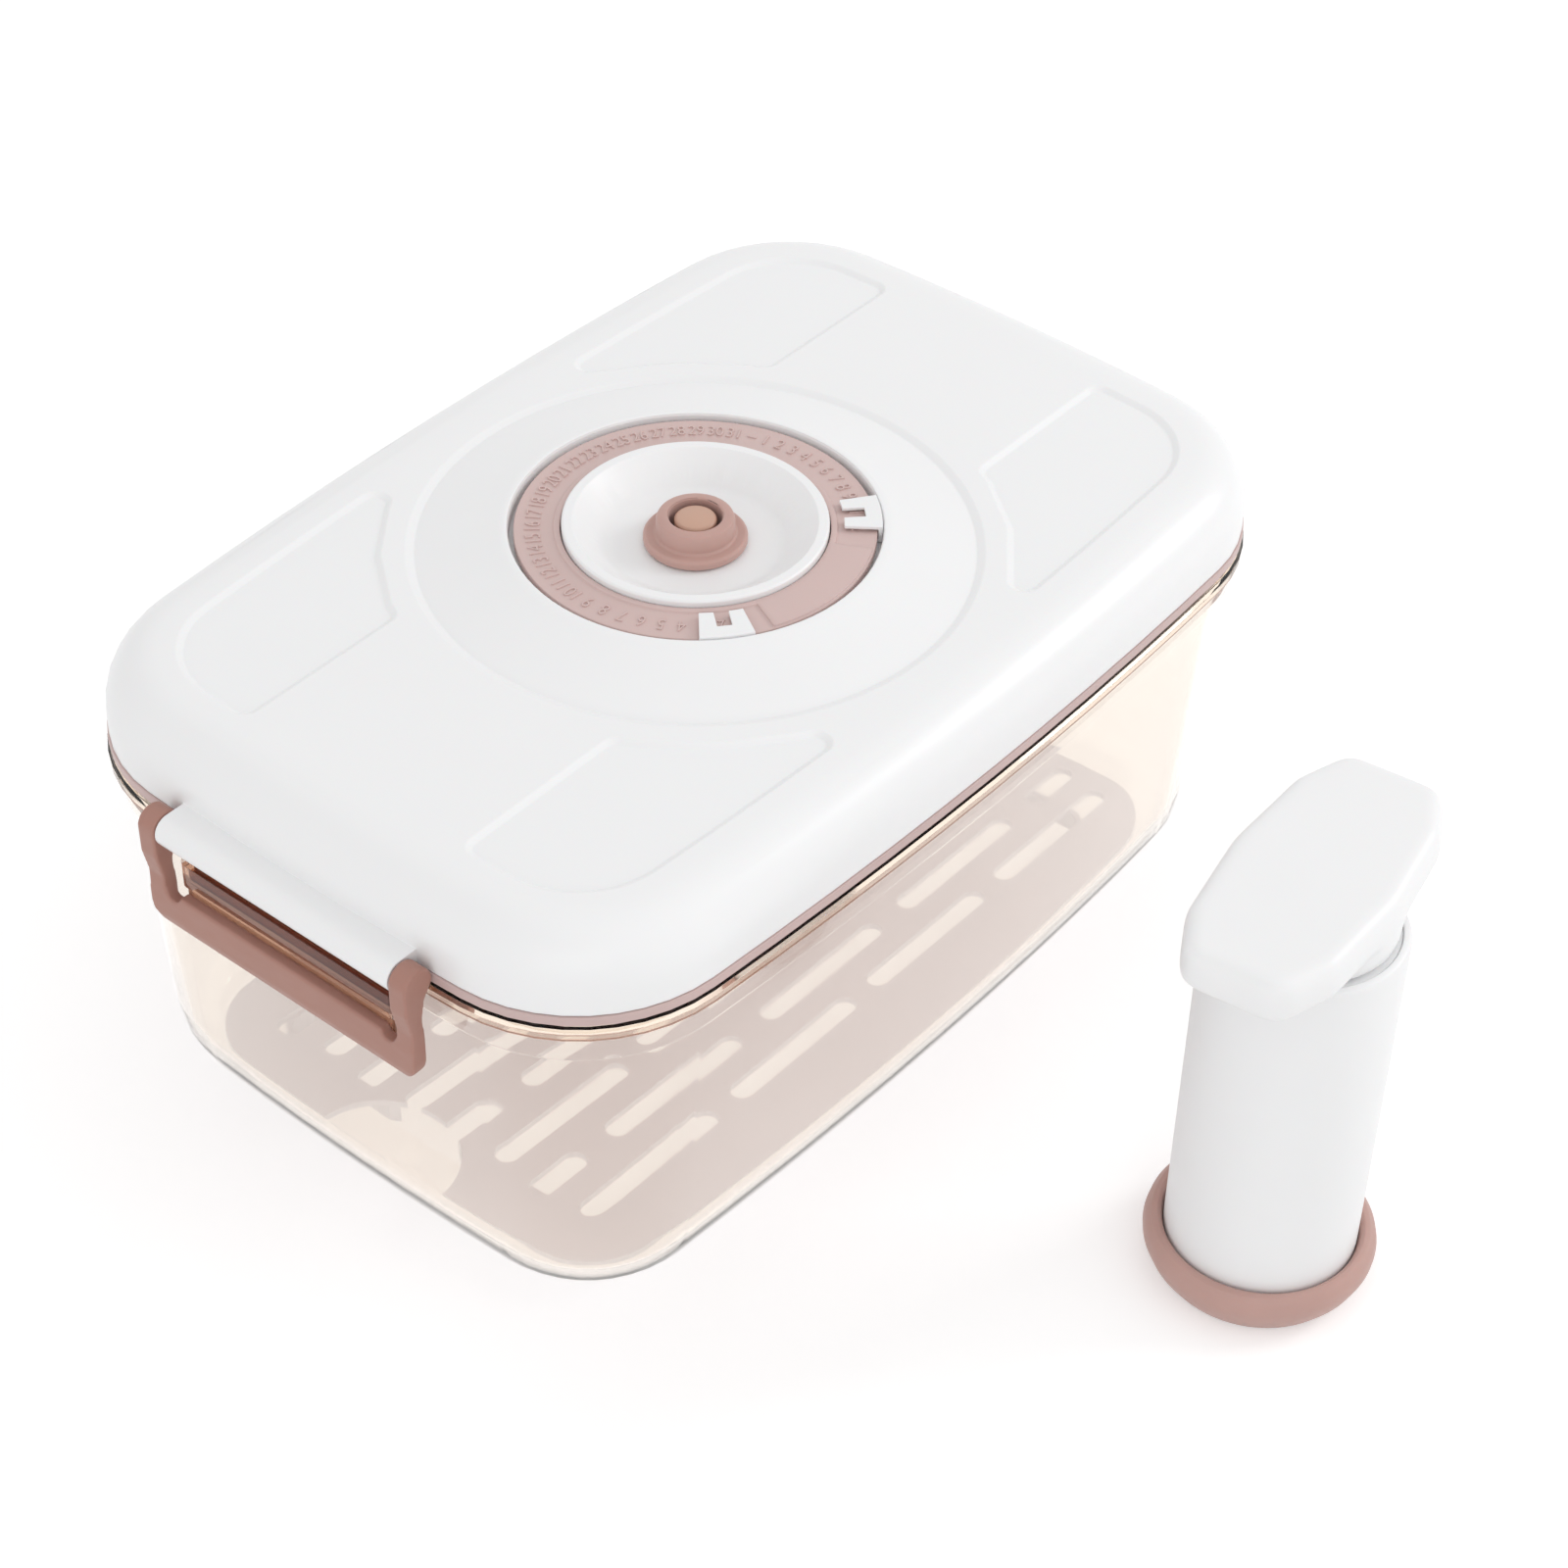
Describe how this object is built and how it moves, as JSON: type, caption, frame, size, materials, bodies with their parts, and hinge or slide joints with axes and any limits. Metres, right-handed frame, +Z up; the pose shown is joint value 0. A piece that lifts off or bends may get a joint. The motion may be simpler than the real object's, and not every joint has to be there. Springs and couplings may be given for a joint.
{
  "type": "vacuum seal canister",
  "caption": "Clear tinted food box with a domed lid, date dial, release valve, end latches, drain tray and a separate hand pump",
  "frame": {"origin": "centre of the tub's flat bottom, on the surface it stands on", "axes": "+X along the box from the front latch to the rear latch, +Y across the box away from the pump, +Z up"},
  "size_m": [0.2752, 0.2816, 0.132],
  "materials": {
    "tinted_clear": "clear amber tinted plastic, smooth",
    "tray_plastic": "slightly cloudy plastic",
    "white_plastic": "smooth satin white plastic",
    "rose_plastic": "satin dusty rose plastic",
    "dial_plastic": "satin pale rose plastic with printed numbers",
    "soft_rubber": "soft pale rose rubber",
    "valve_rubber": "soft dusty rose rubber",
    "spring_steel": "drawn steel wire"
  },
  "bodies": {
    "tub_body": {"tub": "tinted_clear"},
    "tray_body": {"drain_tray": "tray_plastic"},
    "lid_body": {"lid_shell": "white_plastic", "lid_inner_plate": "rose_plastic", "lid_gasket": "soft_rubber", "date_ring": "dial_plastic", "dial_bowl": "white_plastic", "bowl_gasket": "soft_rubber", "valve_guard": "white_plastic", "valve_seal": "valve_rubber"},
    "button_body": {"release_button": "rose_plastic", "release_spring": "spring_steel", "vent_washer": "soft_rubber"},
    "day_body": {"day_pointer": "white_plastic"},
    "month_body": {"month_pointer": "white_plastic"},
    "front_latch_body": {"front_latch": "rose_plastic"},
    "rear_latch_body": {"rear_latch": "rose_plastic"},
    "pump_body": {"pump_barrel": "white_plastic", "pump_cup": "valve_rubber", "pump_foot": "white_plastic", "inlet_flap": "valve_rubber", "pump_collar": "white_plastic"},
    "plunger_body": {"pump_plunger": "white_plastic", "piston_head": "white_plastic", "piston_seal": "valve_rubber", "outlet_flap": "valve_rubber", "pump_handle": "white_plastic"}
  },
  "joints": [
    {"name": "lid_lift", "type": "slide", "parent": "tub_body", "child": "lid_body", "axis": [0, 0, 1], "range_m": [0, 0.1]},
    {"name": "tray_lift", "type": "slide", "parent": "tub_body", "child": "tray_body", "axis": [0, 0, 1], "range_m": [0, 0.075]},
    {"name": "front_latch_swing", "type": "hinge", "parent": "lid_body", "child": "front_latch_body", "pos_m": [-0.1335, 0, 0.106], "axis": [0, 1, 0], "range_deg": [0, 120]},
    {"name": "rear_latch_swing", "type": "hinge", "parent": "lid_body", "child": "rear_latch_body", "pos_m": [0.1335, 0, 0.106], "axis": [0, -1, 0], "range_deg": [0, 120]},
    {"name": "button_press", "type": "slide", "parent": "lid_body", "child": "button_body", "axis": [0, 0, -1], "range_m": [0, 0.002], "stiffness_N_per_m": 600, "deforming": ["release_spring"]},
    {"name": "day_turn", "type": "hinge", "parent": "lid_body", "child": "day_body", "pos_m": [0, 0, 0.129], "axis": [0, 0, 1], "range_deg": [-199, 6.6]},
    {"name": "month_turn", "type": "hinge", "parent": "lid_body", "child": "month_body", "pos_m": [0, 0, 0.129], "axis": [0, 0, 1], "range_deg": [-11.9, 57.8]},
    {"name": "pump_lift", "type": "slide", "parent": "tub_body", "child": "pump_body", "axis": [0, 0, 1], "range_m": [0, 0.1]},
    {"name": "plunger_stroke", "type": "slide", "parent": "pump_body", "child": "plunger_body", "axis": [0, 0, 1], "range_m": [0, 0.06]}
  ],
  "couplings": [
    {"joint": "front_latch_swing", "follows": "lid_lift", "rad_per_m": 20.94},
    {"joint": "rear_latch_swing", "follows": "lid_lift", "rad_per_m": 20.94},
    {"joint": "tray_lift", "follows": "lid_lift", "ratio": 0.75}
  ]
}
